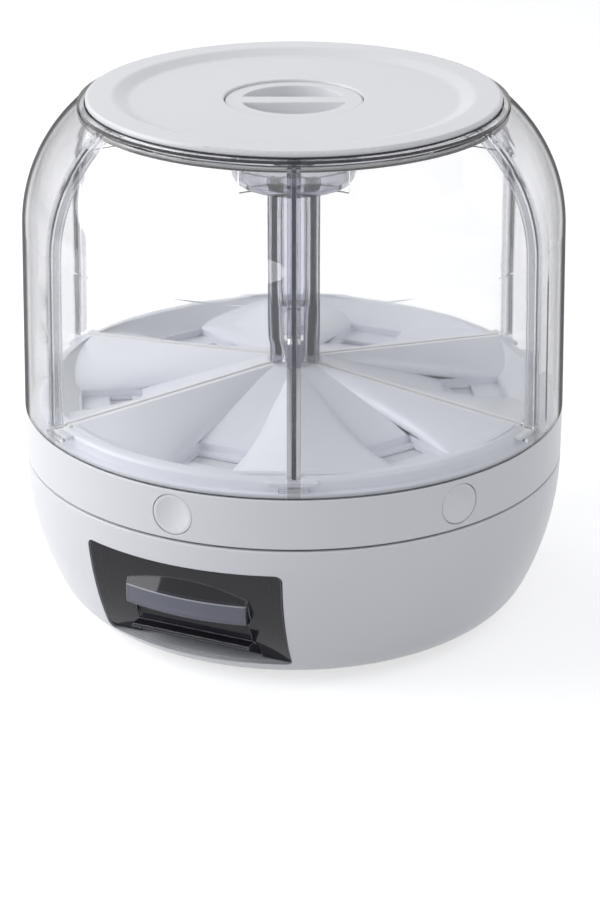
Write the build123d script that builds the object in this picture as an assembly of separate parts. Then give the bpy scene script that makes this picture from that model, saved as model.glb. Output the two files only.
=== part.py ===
from build123d import *
import math
import os

# Rotating grain dispenser with six compartments. Millimetres, Z up. The origin lies on the
# turning axis, level with the underside of the rubber feet. The drawer faces -Y.
# A size called inset is measured inward from the body's radius, unless its note says otherwise.

# Overall form
body_radius = 151.5         # widest radius of the base, the collar and the bucket's foot
base_height = 90.0          # floor to the base's upper rim
bucket_height = 170.7       # bucket's foot to the top of its neck
sectors = 6                 # compartments, each with its own outlet and button
outlet_angle = -90.0        # first outlet and its button, over the drawer
divider_angle = -65.2       # first divider, 5.2 degrees off the middle between two outlets

# Base bowl
foot_height = 2.5
base_flat_inset = 44.5
base_lower_round = 32.0
bowl_wall = 2.6
edge_round = 0.8
ledge_depth = 4.5
ledge_thickness = 3.0

# Feet and the screws that hold the base together
feet_count = 4
feet_inset = 12.0           # in from the edge of the bowl's flat underside
feet_pad_radius = 9.0
feet_stub_radius = 6.0
feet_recess = 1.4
post_places = ((86.0, 40.0), (-86.0, 40.0), (-86.0, -40.0), (86.0, -40.0))
post_radius = 7.0
post_split = 44.0           # height where the bowl's posts meet the deck's posts
screw_radius = 2.0
screw_head_radius = 3.9
screw_head_height = 2.6
base_screw_length = 26.0
base_screw_seat = 36.0      # height of the ledge that each head pulls against

# Turntable bearing
seam_gap = 1.3              # visible gap between the base and the collar
floor_drop = 0.5            # the gate floor hangs this far below the collar
floor_thickness = 2.5
floor_play = 0.6
ball_radius = 2.5
ball_play = 0.03
ball_count = 12
race_inset = 19.5
cage_width = 9.0
cage_thickness = 2.4
deck_thickness = 3.0
spindle_radius = 12.0
spindle_height = 25.0
bush_wall = 2.4
bush_play = 0.05
hub_wall = 3.5
washer_radius = 17.5
washer_thickness = 1.5
spindle_screw_radius = 2.5
spindle_screw_length = 16.0
hub_flare = 6.0

# Chute through the deck, over the drawer
chute_width = 44.0
chute_margin = 6.0          # chute's mouth past the gate floor's window, at both ends
chute_taper = 3.0
chute_wall = 2.0
chute_gap = 3.0             # from the chute's mouth down to the cup's rim

# Collar
collar_height = 28.0
collar_wall = 2.5
collar_ledge = 5.8
collar_ledge_thickness = 2.4
collar_rib = 3.0
collar_rib_height = 2.3

# Hopper tray
tray_wall = 2.6
tray_flange = 2.2
tray_inset = 8.0
tray_rim_rise = 9.2         # tray's rim above the collar's top
tray_rim_round = 3.0
tray_rim_width = 7.0
funnel_foot_inset = 29.5
outlet_drop = 0.3           # outlet's edge below the collar's top
outlet_inset = 65.8         # outlet's inner end
outlet_length = 34.3
outlet_width = 33.0
recess_depth = 4.0
window_offset = 5.8         # outlet's inner end to its window
window_length = 12.5
window_width = 30.0
throat_wall = 2.0
rail_width = 8.0
rail_height = 5.0
rail_rise = 12.5            # rails' inner ends above the tray's rim
rail_step = 1.0             # rails' outer ends above the tray's rim
rail_inner_radius = 15.0
rail_margin = 2.5           # rails' outer ends, in from the tray's rim
groove_depth = 1.6
groove_start = 13.4
hub_radius = 17.0
hub_pin_radius = 8.1
hub_pin_height = 12.0
hub_block = 13.0
tray_post_radius = 4.5
rotor_screw_radius = 1.5
rotor_screw_head = 3.4
rotor_screw_length = 14.0
rotor_head_height = 1.6
hook_width = 10.0           # degrees round the rim
hook_reach = 3.6
hook_height = 2.0
lug_width = 6.0             # degrees round the bucket's foot
lug_height = 2.4
lug_reach = 3.4
lug_gap = 1.0               # flange to lug

# Shutters, buttons and springs
button_radius = 11.25
button_gap = 0.3
button_travel = 14.0
button_depth = 9.0
button_wall = 2.0
button_dish = 1.5
button_rim = 1.6
button_inset = 0.4          # front plane inside the collar's radius
button_post_radius = 3.8
button_pin_radius = 2.4
button_pin_length = 6.0
shutter_thickness = 2.4
shutter_width = 38.0
shutter_arm_width = 18.0
shutter_lap = 4.0           # closed shutter past the window's inner edge
shutter_margin = 1.5
shutter_play = 0.3
shutter_tab = 2.0
guide_width = 2.0
spout_margin = 2.0          # gate floor's window past the tray's, all round
spring_radius = 4.0
spring_wire = 0.9
spring_turns = 5

# Bucket
bucket_wall = 2.8
bucket_gap = 0.5            # gasket between the collar and the bucket's foot
gasket_inset = 0.6
gasket_width = 2.0
shoulder_inset = 2.2        # radius where the wall runs into the shoulder's arc
shoulder_round = 86.0
neck_inset = 34.1
neck_lip = 1.65             # neck's straight side above the shoulder
neck_step = 3.8             # neck's outside to its recess for the lid
neck_wall = 2.4
neck_depth = 7.0
mouth_inset = 7.6           # mouth's edge, in from the recess
mouth_ledge = 2.4
guide_rib_depth = 4.5
guide_rib_thickness = 2.2
guide_rib_gap = 0.5         # ribs' lower ends above the tray's rim

# Dividers and the centre column
divider_thickness = 2.2
divider_play = 0.1
fit_gap = 0.3               # gap left round pieces that are slipped into place
divider_drop = 11.5         # dividers' upper edge below the neck's top
column_radius = 10.4
column_rib_radius = 15.6
column_rib_thickness = 1.6
column_plug = 20.0
column_screw_length = 34.0
cup_radius = 34.7
cup_wall = 2.2
cup_drop = 47.5             # cup's underside below the neck's top
cup_round = 9.0
cup_gap = 0.5

# Lid
lid_rise = 3.5              # lid above the neck's top
lid_gap = 0.6
lid_edge = 3.0
lid_rim_width = 19.0
lid_dish_depth = 3.0
lid_dish_slope = 4.0
lid_wall = 2.6
lid_band_inset = 0.1        # in from the lid's edge
lid_band_gap = 0.3
lid_skirt_gap = 4.0         # skirt to the bucket's mouth
lid_skirt_wall = 2.5
lid_skirt_drop = 10.3       # skirt's lower edge below the neck's top
seal_height = 3.0
seal_gap = 0.3

# Locking knob
knob_radius = 37.7
knob_gap = 0.3
knob_drop = 1.0             # knob's top below the dished lid
knob_height = 10.8
knob_recess_radius = 28.5
knob_recess_depth = 8.5
knob_bar_width = 12.0
knob_bar_angle = 24.8
knob_edge = 1.2
boss_radius = 26.2
boss_drop = 27.0            # boss's lower end below the lid's top
stem_radius = 12.0
lock_arm_radius = 31.8
lock_arm_width = 16.0
lock_arm_height = 3.6
lock_gap = 0.6
ramp_reach = 5.0
ramp_height = 2.4
ramp_span = 50.0
knob_screw_length = 14.0

# Drawer and its bay
drawer_drop = 15.0          # drawer's front below the base's rim
drawer_bottom = 15.5
drawer_half_top = 57.0
drawer_half_bottom = 54.5
drawer_corner = 3.0
drawer_gap = 0.8
drawer_inset = 0.5
panel_thickness = 2.8
cup_half = 51.2
drawer_cup_wall = 2.2
cup_back = -34.0
cup_low = 15.5
cup_rim_drop = 5.0          # cup's rim below the front's upper edge
bay_gap = 0.9
bay_wall = 2.2
bay_floor_gap = 0.3
bay_back_gap = 2.0
bay_flange = 9.0
bay_flange_thickness = 2.4
bay_screw_rows = (-48.0, -100.0)
bay_screw_length = 8.0
bay_boss_radius = 4.2
bay_boss_height = 4.4

# Pull on the drawer's front
pull_half = 35.0
pull_draft = 2.0
pull_top_drop = 12.5        # heights of the pull below the front's upper edge
pull_edge_drop = 22.3
pull_low_drop = 33.5
pull_inset = 8.7            # its curved front face
pull_root_inset = 14.5      # where its slope meets the panel
pull_lip = 1.6
pocket_half = 34.0
pocket_inset = 0.2          # pocket's back behind the panel's face, at the pocket's floor
pocket_floor_z = 27.0
plate_reach = 6.8           # pocket's floor plate in front of the pocket's back
plate_thickness = 2.0
notch_half = 36.0
notch_flare = 1.5
notch_inset = 3.0           # notch's back behind the panel's face, at the panel's foot

# Radii that follow from the sizes above
base_flat_radius = body_radius - base_flat_inset
feet_radius = base_flat_radius - feet_inset
race_radius = body_radius - race_inset
tray_outer_radius = body_radius - tray_inset
funnel_foot_radius = body_radius - funnel_foot_inset
tray_post_circle = funnel_foot_radius
rail_outer_radius = tray_outer_radius - rail_margin
outlet_inner = body_radius - outlet_inset
window_inner = outlet_inner + window_offset
window_outer = window_inner + window_length
shutter_inner = window_inner - shutter_lap
chute_inner = window_inner - spout_margin - chute_margin
chute_outer = window_outer + spout_margin + chute_margin
shoulder_radius = body_radius - shoulder_inset
neck_radius = body_radius - neck_inset
neck_recess_radius = neck_radius - neck_step
mouth_radius = neck_recess_radius - mouth_inset
lid_radius = neck_recess_radius - lid_gap
lid_dish_radius = lid_radius - lid_rim_width
lid_band_radius = lid_radius - lid_band_inset
lid_skirt_radius = mouth_radius - lid_skirt_gap
pull_front = body_radius - pull_inset
pull_root = body_radius - pull_root_inset

# Heights that follow from the sizes above
drawer_top = base_height - drawer_drop
cup_rim = drawer_top - cup_rim_drop
pull_top_z = drawer_top - pull_top_drop
pull_edge_z = drawer_top - pull_edge_drop
pull_low_z = drawer_top - pull_low_drop
collar_bottom = base_height + seam_gap
collar_top = collar_bottom + collar_height
button_z = collar_bottom + collar_height / 2
floor_bottom = collar_bottom - floor_drop
floor_top = floor_bottom + floor_thickness
deck_top = floor_bottom - 2 * (ball_radius + ball_play)
deck_bottom = deck_top - deck_thickness
outlet_level = collar_top - outlet_drop
recess_floor = outlet_level - recess_depth
outlet_bottom = recess_floor - throat_wall
shutter_top = outlet_bottom - shutter_play
shutter_bottom = shutter_top - shutter_thickness
spout_top = shutter_bottom - shutter_play
flange_top = collar_top + tray_flange
tray_rim_z = collar_top + tray_rim_rise
rail_inner_z = tray_rim_z + rail_rise
rail_outer_z = tray_rim_z + rail_step
lug_low = flange_top + lug_gap
hook_low = lug_low + lug_height + fit_gap
bucket_foot = collar_top + bucket_gap
guide_rib_bottom = tray_rim_z + guide_rib_gap
neck_top = bucket_foot + bucket_height
neck_bottom = neck_top - neck_depth
divider_top = neck_top - divider_drop
cup_floor_z = neck_top - cup_drop
lid_top = neck_top + lid_rise
lid_skirt_bottom = neck_top - lid_skirt_drop
boss_bottom = lid_top - boss_drop
spindle_top = deck_top + spindle_height
hub_top = spindle_top - 0.6
dish_z = lid_top - lid_dish_depth
knob_top = dish_z - knob_drop
knob_bottom = knob_top - knob_height
well_floor_top = knob_bottom - knob_gap
well_floor_bottom = well_floor_top - lid_wall
cup_top = well_floor_bottom - cup_gap
lock_top = boss_bottom - lock_gap
ledge_top = neck_bottom + mouth_ledge
step = 360.0 / sectors
outlet_turns = [outlet_angle + step * index for index in range(sectors)]
divider_turns = [divider_angle + step * index for index in range(sectors)]


def outline(corners):
    """Face with straight sides through (x, y) or (x, y, round) corners."""
    points = [corner[:2] for corner in corners]
    rounds = [corner[2] if len(corner) > 2 else 0 for corner in corners]
    if max(rounds) > 0:
        return make_face(FilletPolyline(*points, radius=rounds, close=True))
    return make_face(Polyline(*points, close=True))


def turned(face):
    """Solid of revolution about Z from a face drawn as (radius, height)."""
    return revolve(Plane.XZ * face, Axis.Z)


def disc(radius, low, high, place=(0, 0)):
    return Pos(place[0], place[1], low) * extrude(Circle(radius), high - low)


def ring(outer, inner, low, high):
    return Pos(0, 0, low) * extrude(Circle(outer) - Circle(inner), high - low)


def slab(x_range, y_range, z_range):
    size = [high - low for low, high in (x_range, y_range, z_range)]
    centre = [(high + low) / 2 for low, high in (x_range, y_range, z_range)]
    return Pos(*centre) * Box(*size)


def at(angle, shape):
    return Rot(0, 0, angle) * shape


def at_all(angles, shape):
    return [Rot(0, 0, angle) * shape for angle in angles]


def screw(place, seat, length, shank, head, head_height):
    """Pan-head screw that points up; seat is the height of its head's bearing face."""
    body = disc(shank, seat, seat + length, place)
    cap = disc(head, seat - head_height, seat, place)
    return body + cap


def save(shape, name):
    os.makedirs("parts", exist_ok=True)
    export_step(shape, "parts/" + name + ".step")


# The bowl's section is a flat, a small lower arc and a large upper arc that meet in tangency.
bowl_span = body_radius - base_flat_radius
lower_centre = (base_flat_radius, foot_height + base_lower_round)
bowl_rise = base_height - lower_centre[1]
upper_round = (bowl_span**2 + bowl_rise**2 - base_lower_round**2) / (2 * (bowl_span - base_lower_round))
upper_centre = (body_radius - upper_round, base_height)
centre_drop = lower_centre[1] - upper_centre[1]
join_angle = math.degrees(math.atan2(centre_drop, lower_centre[0] - upper_centre[0]))


def bowl_region(shrink):
    """Everything inside the bowl's outer skin less a depth, up to the rim."""
    low = foot_height + shrink
    lower = CenterArc(lower_centre, base_lower_round - shrink, -90, 90 + join_angle)
    upper = CenterArc(upper_centre, upper_round - shrink, join_angle, -join_angle)
    flat = Line((0, low), (base_flat_radius, low))
    top = Line((body_radius - shrink, base_height), (0, base_height))
    axis = Line((0, base_height), (0, low))
    return make_face(flat + lower + upper + top + axis)


def bowl_radius_at(z):
    if z < upper_centre[1] + upper_round * math.sin(math.radians(join_angle)):
        return lower_centre[0] + math.sqrt(base_lower_round**2 - (z - lower_centre[1])**2)
    return upper_centre[0] + math.sqrt(upper_round**2 - (z - upper_centre[1])**2)


def front_outline(grow):
    """The drawer front's shape seen from the front, grown by a gap."""
    top = drawer_top + grow
    low = drawer_bottom - grow
    wide = drawer_half_top + grow
    narrow = drawer_half_bottom + grow
    corner = drawer_corner + grow
    corners = [(-narrow, low, corner), (narrow, low, corner), (wide, top, corner), (-wide, top, corner)]
    return outline(corners)


def front_prism(grow, near, far):
    """The front's outline carried from y = near to y = far."""
    return extrude(Plane.XZ.offset(-far) * front_outline(grow), far - near)


def panel_y(z, inward):
    """Depth of the flat-fronted drawer panel, level with the bowl at its two sides."""
    share = (z - drawer_bottom) / (drawer_top - drawer_bottom)
    half = drawer_half_bottom + share * (drawer_half_top - drawer_half_bottom)
    return inward + drawer_inset - math.sqrt(bowl_radius_at(z)**2 - half**2)


def behind_panel(inward):
    """Everything behind the panel's front face, moved back by a depth."""
    low = drawer_bottom - drawer_gap - bay_wall
    high = base_height
    middle = (low + high) / 2
    face = ThreePointArc((panel_y(low, inward), low), (panel_y(middle, inward), middle),
                         (panel_y(high, inward), high))
    back = Polyline((panel_y(high, inward), high), (0, high), (0, low), (panel_y(low, inward), low))
    return extrude(Plane.YZ * make_face(face + back), body_radius, both=True)


# Base bowl: one moulding with a rim ledge for the deck, four screw posts and the drawer's opening.
def make_bowl():
    bowl = turned(bowl_region(0)) - turned(bowl_region(bowl_wall))
    inner = body_radius - bowl_wall
    slope = ledge_depth + ledge_thickness
    ledge = turned(outline([(inner + 1, deck_bottom), (inner - ledge_depth, deck_bottom),
                            (inner - ledge_depth, deck_bottom - ledge_thickness),
                            (inner + 1, deck_bottom - slope)]))
    bowl += ledge
    room = turned(bowl_region(bowl_wall / 2))
    for place in post_places:
        bowl += disc(post_radius, foot_height + bowl_wall / 2, post_split, place) & room
    for place in post_places:
        bowl -= disc(screw_head_radius + 0.5, 0, base_screw_seat, place)
        bowl -= disc(screw_radius + 0.2, 0, post_split, place)
    for index in range(feet_count):
        turn = 360 / feet_count * (index + 0.5)
        stub = disc(feet_stub_radius + 0.2, foot_height, foot_height + feet_recess, (feet_radius, 0))
        bowl -= at(turn, stub)
    bowl -= front_prism(drawer_gap, -body_radius - 1, -base_flat_radius + 20)
    rim = bowl.edges().filter_by(GeomType.CIRCLE).group_by(Axis.Z)[-1]
    return fillet(rim.sort_by(SortBy.RADIUS)[-1:], edge_round)


def make_feet():
    pad = outline([(0, 0), (feet_pad_radius, 0, 0.8), (feet_pad_radius, foot_height, 0.4),
                   (feet_stub_radius, foot_height), (feet_stub_radius, foot_height + feet_recess - 0.2),
                   (0, foot_height + feet_recess - 0.2)])
    foot = Pos(feet_radius, 0, 0) * turned(pad)
    return Compound(at_all([360 / feet_count * (index + 0.5) for index in range(feet_count)], foot))


# Base deck: closes the bowl, carries the spindle and the ball track and lets grain down its chute.
def chute_solid(grow):
    wide = chute_width / 2 + grow
    top = Plane.XY.offset(deck_top) * outline([(-wide, -chute_outer - grow), (wide, -chute_outer - grow),
                                               (wide, -chute_inner + grow), (-wide, -chute_inner + grow)])
    narrow = wide - chute_taper
    mouth = cup_rim + chute_gap
    near = chute_outer - chute_taper + grow
    far = chute_inner + chute_taper - grow
    low = Plane.XY.offset(mouth) * outline([(-narrow, -near), (narrow, -near), (narrow, -far),
                                            (-narrow, -far)])
    return loft([low, top], ruled=True)


def make_deck():
    radius = body_radius - bowl_wall - floor_play
    deck = disc(radius, deck_bottom, deck_top)
    flare = spindle_radius + hub_flare
    post = turned(outline([(0, deck_top - 1), (flare, deck_top - 1), (flare, deck_top),
                           (spindle_radius, deck_top + 3), (spindle_radius, spindle_top), (0, spindle_top)]))
    deck += post
    deck += ring(flare, flare - 2.4, deck_bottom - hub_flare, deck_bottom)
    deck += chute_solid(chute_wall)
    for place in post_places:
        deck += disc(post_radius - 1, post_split, deck_top - 1, place)
    for place in bay_screw_places():
        deck += disc(bay_boss_radius, deck_top - 1, deck_top + bay_boss_height, place)
    deck -= chute_solid(0)
    deck -= disc(spindle_screw_radius + 0.05, spindle_top - spindle_screw_length - 2, spindle_top)
    for place in post_places:
        deck -= disc(screw_radius + 0.05, post_split, base_screw_seat + base_screw_length + 2, place)
    for place in bay_screw_places():
        deck -= disc(rotor_screw_radius + 0.05, deck_bottom, deck_top + bay_boss_height - 1.2, place)
    return deck


def bay_screw_places():
    across = cup_half + bay_gap + bay_wall + bay_flange / 2
    return [(side * across, row) for side in (-1, 1) for row in bay_screw_rows]


def make_base_screws():
    screws = [screw(place, base_screw_seat, base_screw_length, screw_radius, screw_head_radius,
                    screw_head_height)
              for place in post_places]
    return Compound(screws)


# Drawer bay: open-topped housing that hangs under the deck and guides the drawer.
def make_bay():
    inner = cup_half + bay_gap
    outer = inner + bay_wall
    floor = drawer_bottom - bay_floor_gap
    back = cup_back + bay_back_gap
    box = slab((-outer, outer), (-body_radius, back + bay_wall), (floor - bay_wall, deck_bottom))
    flange = slab((-outer - bay_flange, outer + bay_flange), (bay_screw_rows[1] - 8, back + bay_wall),
                  (deck_bottom - bay_flange_thickness, deck_bottom))
    bay = box + flange
    bay -= slab((-inner, inner), (-body_radius, back), (floor, deck_bottom))
    walls = behind_panel(panel_thickness + drawer_gap)
    floor_plate = slab((-drawer_half_bottom, drawer_half_bottom), (-body_radius, panel_y(drawer_bottom, 10)),
                       (floor - bay_wall, floor))
    bay = (bay & walls) + floor_plate
    bay &= turned(bowl_region(bowl_wall + 0.3))
    bay &= disc(body_radius - bowl_wall - ledge_depth - 0.3, 0, deck_bottom)
    for place in bay_screw_places():
        bay -= disc(rotor_screw_radius + 0.2, 0, deck_bottom, place)
    return bay


def make_bay_screws():
    seat = deck_bottom - bay_flange_thickness
    screws = [screw(place, seat, bay_screw_length, rotor_screw_radius, rotor_screw_head, rotor_head_height)
              for place in bay_screw_places()]
    return Compound(screws)


# Thrust bearing between the deck and the gate floor.
def make_cage():
    middle = deck_top + ball_radius + ball_play
    cage = ring(race_radius + cage_width / 2, race_radius - cage_width / 2,
                middle - cage_thickness / 2, middle + cage_thickness / 2)
    pocket = disc(ball_radius + 0.05, deck_top, floor_bottom, (race_radius, 0))
    cage -= at_all([360 / ball_count * index for index in range(ball_count)], pocket)
    return cage


def make_balls():
    middle = deck_top + ball_radius + ball_play
    ball = Pos(race_radius, 0, middle) * Sphere(ball_radius)
    return Compound(at_all([360 / ball_count * index for index in range(ball_count)], ball))


def make_washer():
    return ring(washer_radius, spindle_screw_radius + 0.2, spindle_top, spindle_top + washer_thickness)


def make_spindle_screw():
    top = spindle_top + washer_thickness
    shank = disc(spindle_screw_radius, top - spindle_screw_length, top)
    return shank + disc(4.6, top, top + 3)


# Gate floor: turning plate with the hub on the spindle and six spouts under the shutters.
def make_gate_floor():
    radius = body_radius - collar_wall - floor_play
    hole = spindle_radius + bush_play + bush_wall
    plate = disc(radius, floor_bottom, floor_top)
    plate += disc(hole + hub_wall, floor_bottom, hub_top)
    plate -= disc(hole + 0.03, floor_bottom, hub_top)
    half = window_width / 2 + spout_margin
    reach = spout_margin + throat_wall
    window = slab((window_inner - spout_margin, window_outer + spout_margin), (-half, half),
                  (floor_bottom, spout_top))
    spout = slab((window_inner - reach, window_outer + reach), (-half - throat_wall, half + throat_wall),
                 (floor_bottom, spout_top))
    face = window_outer + reach
    pin = Pos(face, 0, button_z) * Rot(0, 90, 0) * extrude(Circle(button_pin_radius), button_pin_length)
    plate += at_all(outlet_turns, spout + pin)
    plate -= at_all(outlet_turns, window)
    seat = disc(rotor_screw_head + 0.2, floor_bottom, floor_bottom + rotor_head_height, (tray_post_circle, 0))
    hole = disc(rotor_screw_radius + 0.1, floor_bottom, floor_top, (tray_post_circle, 0))
    plate -= at_all(divider_turns, seat)
    plate -= at_all(divider_turns, hole)
    return plate


def make_bush():
    inner = spindle_radius + bush_play
    return ring(inner + bush_wall, inner, floor_bottom, hub_top)


def make_rotor_screws():
    seat = floor_bottom + rotor_head_height
    one = screw((tray_post_circle, 0), seat, rotor_screw_length, rotor_screw_radius, rotor_screw_head,
                rotor_head_height)
    return Compound(at_all(divider_turns, one))


# Collar: turning ring with the six button holes.
def make_collar():
    inner = body_radius - collar_wall
    wall = turned(outline([(inner, collar_bottom), (body_radius, collar_bottom, edge_round),
                           (body_radius, collar_top, edge_round), (inner - collar_ledge, collar_top),
                           (inner - collar_ledge, collar_top - collar_ledge_thickness),
                           (inner, collar_top - collar_ledge_thickness)]))
    wall += ring(inner + 0.5, inner - collar_rib, floor_top, floor_top + collar_rib_height)
    reach = button_radius + button_gap
    hole = Pos(tray_outer_radius - 2, 0, button_z) * Rot(0, 90, 0) * extrude(Circle(reach), 20)
    wall -= at_all(outlet_turns, hole)
    return wall


# Gasket that the bucket's foot stands on.
def make_gasket():
    outer = body_radius - gasket_inset
    return ring(outer, outer - gasket_width, collar_top, bucket_foot)


# Hopper tray: six funnels between rails, each with a recessed outlet over its shutter.
def rail_z(radius):
    share = (radius - rail_inner_radius) / (rail_outer_radius - rail_inner_radius)
    return rail_inner_z + share * (rail_outer_z - rail_inner_z)


def beside_rail(along, turn, side):
    """Point on a rail's side, at a distance along it, on the first outlet's own axes."""
    angle = math.radians(turn)
    x = along * math.cos(angle) - side * math.sin(angle)
    y = along * math.sin(angle) + side * math.cos(angle)
    return (x, y, rail_z(along))


def funnel_faces():
    """Lower and upper end of the space over one funnel, with its outlet along +X."""
    lead = divider_angle - outlet_angle
    far = body_radius
    half = outlet_width / 2
    low = [(outlet_inner, half), (far, half), (far, -half), (outlet_inner, -half)]
    low_face = make_face(Polyline(*[(x, y, outlet_level) for x, y in low], close=True))
    near = hub_radius - 1
    top = [beside_rail(near, lead, -rail_width / 2), beside_rail(far, lead, -rail_width / 2),
           beside_rail(far, lead - step, rail_width / 2), beside_rail(near, lead - step, rail_width / 2)]
    return low_face, make_face(Polyline(*top, close=True))


def funnel_limit(grow):
    """Round outer boundary of the funnels, grown outward and down by the wall."""
    low = outlet_level - grow
    high = tray_rim_z - grow / 2
    wide = tray_outer_radius - tray_rim_width + grow
    foot = funnel_foot_radius + grow
    above = rail_inner_z + 10
    return turned(outline([(0, low), (foot, low), (wide, high), (wide, above), (0, above)]))


def make_tray():
    low_face, top_face = funnel_faces()
    void = loft([low_face, top_face], ruled=True)
    skin = Pos(0, 0, -tray_wall) * (void + extrude(top_face, tray_wall, dir=(0, 0, 1)))
    skin &= funnel_limit(tray_wall)
    wide = tray_outer_radius - tray_rim_width
    inner = tray_outer_radius - tray_wall
    flange = body_radius - collar_wall - floor_play - 0.2
    rim = turned(outline([(inner, collar_top), (flange, collar_top), (flange, flange_top),
                          (tray_outer_radius, flange_top),
                          (tray_outer_radius, tray_rim_z, tray_rim_round), (wide, tray_rim_z, 1.0),
                          (funnel_foot_radius, outlet_level), (funnel_foot_radius, outlet_level - tray_wall),
                          (wide + 1, tray_rim_z - tray_wall), (inner, tray_rim_z - tray_wall)]))
    tray = rim + at_all(outlet_turns, skin)
    tray += disc(hub_radius, rail_inner_z - hub_block, rail_inner_z)
    near = hub_radius - 3
    far = rail_outer_radius
    bar = outline([(near, rail_z(near) - rail_height), (far, rail_outer_z - rail_height), (far, rail_outer_z),
                   (near, rail_z(near))])
    rail = extrude(Plane.XZ * bar, rail_width / 2, both=True)
    tray += at_all(divider_turns, rail)
    post_top = rail_z(tray_post_circle) - rail_height + 1
    post = disc(tray_post_radius, floor_top, post_top, (tray_post_circle, 0))
    tray += at_all(divider_turns, post)
    tray -= at_all(outlet_turns, void & funnel_limit(0))
    tray += at_all(outlet_turns, outlet_solid())
    tray -= at_all(outlet_turns, outlet_void())
    tray = tray + disc(hub_pin_radius, rail_inner_z - 1, rail_inner_z + hub_pin_height)
    tray -= disc(screw_radius + 0.1, rail_inner_z - hub_block, rail_inner_z + hub_pin_height)
    groove_half = divider_thickness / 2 + divider_play
    start = groove_start
    slot = extrude(Plane.XZ * outline([(start, rail_z(start) - groove_depth),
                                       (body_radius, rail_z(body_radius) - groove_depth),
                                       (body_radius, rail_z(body_radius) + 5), (start, rail_z(start) + 5)]),
                   groove_half, both=True)
    tray -= at_all(divider_turns, slot)
    pilot = disc(rotor_screw_radius + 0.05, floor_top, floor_top + rotor_screw_length, (tray_post_circle, 0))
    tray -= at_all(divider_turns, pilot)
    hook = ring(tray_outer_radius + hook_reach, tray_outer_radius - 1, hook_low, hook_low + hook_height)
    tray += at_all(divider_turns, hook & wedge(hook_width))
    return tray


def outlet_solid():
    """Walls and floor of the recess, on a wider plate whose two guides carry the shutter."""
    half = outlet_width / 2 + throat_wall
    length = (outlet_inner - throat_wall, outlet_inner + outlet_length + throat_wall)
    cup = slab(length, (-half, half), (outlet_bottom, outlet_level - 0.4))
    inner = shutter_width / 2 + shutter_play
    outer = inner + guide_width
    plate = slab(length, (-outer, outer), (outlet_bottom, recess_floor))
    guides = slab(length, (-outer, -inner), (shutter_bottom, recess_floor))
    guides += slab(length, (inner, outer), (shutter_bottom, recess_floor))
    return cup + plate + guides


def outlet_void():
    half = outlet_width / 2
    recess = slab((outlet_inner, outlet_inner + outlet_length), (-half, half),
                  (recess_floor, outlet_level + 0.1))
    window = slab((window_inner, window_outer), (-window_width / 2, window_width / 2),
                  (outlet_bottom, outlet_level))
    return recess + window


def wedge(width):
    """Upright wedge about +X, used to cut a ring to a short lug."""
    half = math.radians(width / 2)
    far = body_radius + 10
    side = far * math.tan(half)
    return extrude(outline([(0, 0), (far, -side), (far, side)]), lid_top)


# Shutter: flat slide whose window meets the outlet's when its button is pushed in.
def make_shutter():
    tab_back = body_radius - button_inset - button_depth - 0.2
    tab_front = tab_back - shutter_tab
    neck = window_outer + button_travel + shutter_margin + 2
    half = shutter_width / 2
    arm = shutter_arm_width / 2
    plate = outline([(shutter_inner, -half, 2), (neck, -half, 2), (neck + 6, -arm), (tab_back, -arm),
                     (tab_back, arm), (neck + 6, arm), (neck, half, 2), (shutter_inner, half, 2)])
    slide = Pos(0, 0, shutter_bottom) * extrude(plate, shutter_thickness)
    opening = slab((window_inner + button_travel, window_outer + button_travel),
                   (-window_width / 2 - 0.5, window_width / 2 + 0.5), (shutter_bottom, shutter_top))
    slide -= opening
    slide += slab((tab_front, tab_back), (-arm + 1, arm - 1), (button_z - 6, shutter_bottom + 0.5))
    bore = Pos(tab_front - 1, 0, button_z) * Rot(0, 90, 0) * extrude(Circle(button_pin_radius + 0.05), 5)
    return slide - bore


# Button: dished round cap whose pin passes the shutter's tab and steadies the spring.
def make_button():
    front = body_radius - button_inset
    back = front - button_depth
    dish = button_dish
    open_radius = button_radius - button_rim
    ball = (open_radius**2 + dish**2) / (2 * dish)
    bore = button_radius - button_wall
    cap = outline([(0, 0), (button_radius, 0, 0.6), (button_radius, -button_depth), (bore, -button_depth),
                   (bore, -dish - button_wall), (0, -dish - button_wall)])
    solid = turned(cap)
    solid -= Pos(0, 0, ball - dish) * Sphere(ball)
    post = disc(button_post_radius, -button_depth - 0.2, -dish - button_wall / 2)
    pin = disc(button_pin_radius, -button_depth - 0.2 - shutter_tab - button_pin_length, -button_depth)
    solid += post + pin
    return Pos(front, 0, button_z) * Rot(0, 90, 0) * solid


# Return spring: square-section coil between the spout and the shutter's tab.
def make_spring():
    start = window_outer + spout_margin + throat_wall + 0.3
    end = body_radius - button_inset - button_depth - 0.2 - shutter_tab - 0.3
    sides = 10
    count = spring_turns * sides
    pitch = (end - start - spring_wire) / count
    points = []
    for index in range(count + 1):
        angle = 2 * math.pi * index / sides
        x = start + spring_wire / 2 + pitch * index
        points.append((x, spring_radius * math.cos(angle), button_z + spring_radius * math.sin(angle)))
    path = Polyline(*points)
    section = Plane(origin=points[0], z_dir=path % 0) * Rectangle(spring_wire, spring_wire)
    return sweep(section, path=path, transition=Transition.RIGHT)


# The bucket's section is a tapered wall that runs in tangency into the shoulder's arc.
centre_radius = shoulder_radius - shoulder_round
shoulder_z = neck_top - neck_lip - math.sqrt(shoulder_round**2 - (neck_radius - centre_radius)**2)
shoulder_centre = (centre_radius, shoulder_z)
foot_reach = math.hypot(body_radius - shoulder_centre[0], bucket_foot - shoulder_z)
foot_angle = math.degrees(math.atan2(bucket_foot - shoulder_z, body_radius - shoulder_centre[0]))
wall_angle = foot_angle + math.degrees(math.acos(shoulder_round / foot_reach))


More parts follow.
